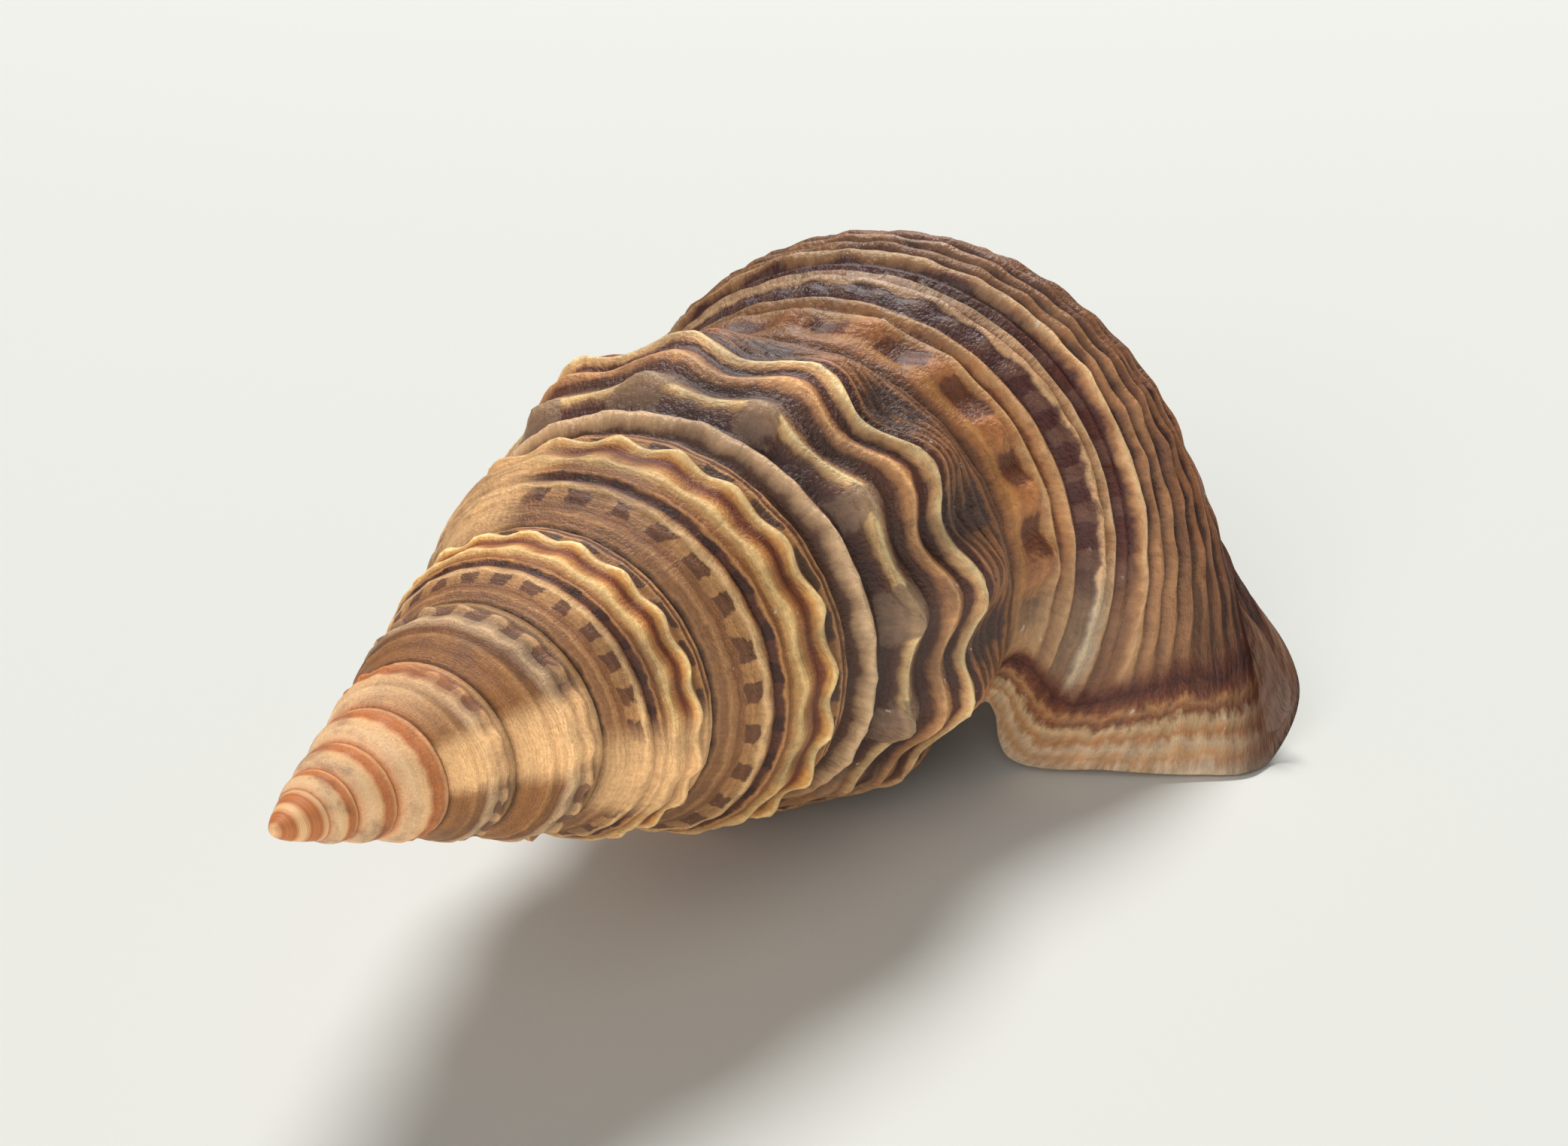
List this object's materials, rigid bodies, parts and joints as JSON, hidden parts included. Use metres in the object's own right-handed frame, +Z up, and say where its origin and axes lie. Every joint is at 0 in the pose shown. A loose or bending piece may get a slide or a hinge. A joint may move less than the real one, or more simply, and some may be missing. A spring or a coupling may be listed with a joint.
{
  "type": "cerith shell",
  "caption": "Tall spiral sea snail shell with beaded spiral cords, wavy ribs and a wide flared lip, lying on its opening.",
  "frame": {"origin": "centre of the bounding box's footprint, on the surface that the shell lies on", "axes": "+Z up, +X from the pointed end to the foot of the shell, the flared lip on the -Y side"},
  "size_m": [0.035, 0.0212, 0.0155],
  "materials": {
    "shell": "satin natural shell, banded cream, tan and dark brown"
  },
  "bodies": {
    "root": {"cerith_shell": "shell"}
  },
  "joints": []
}
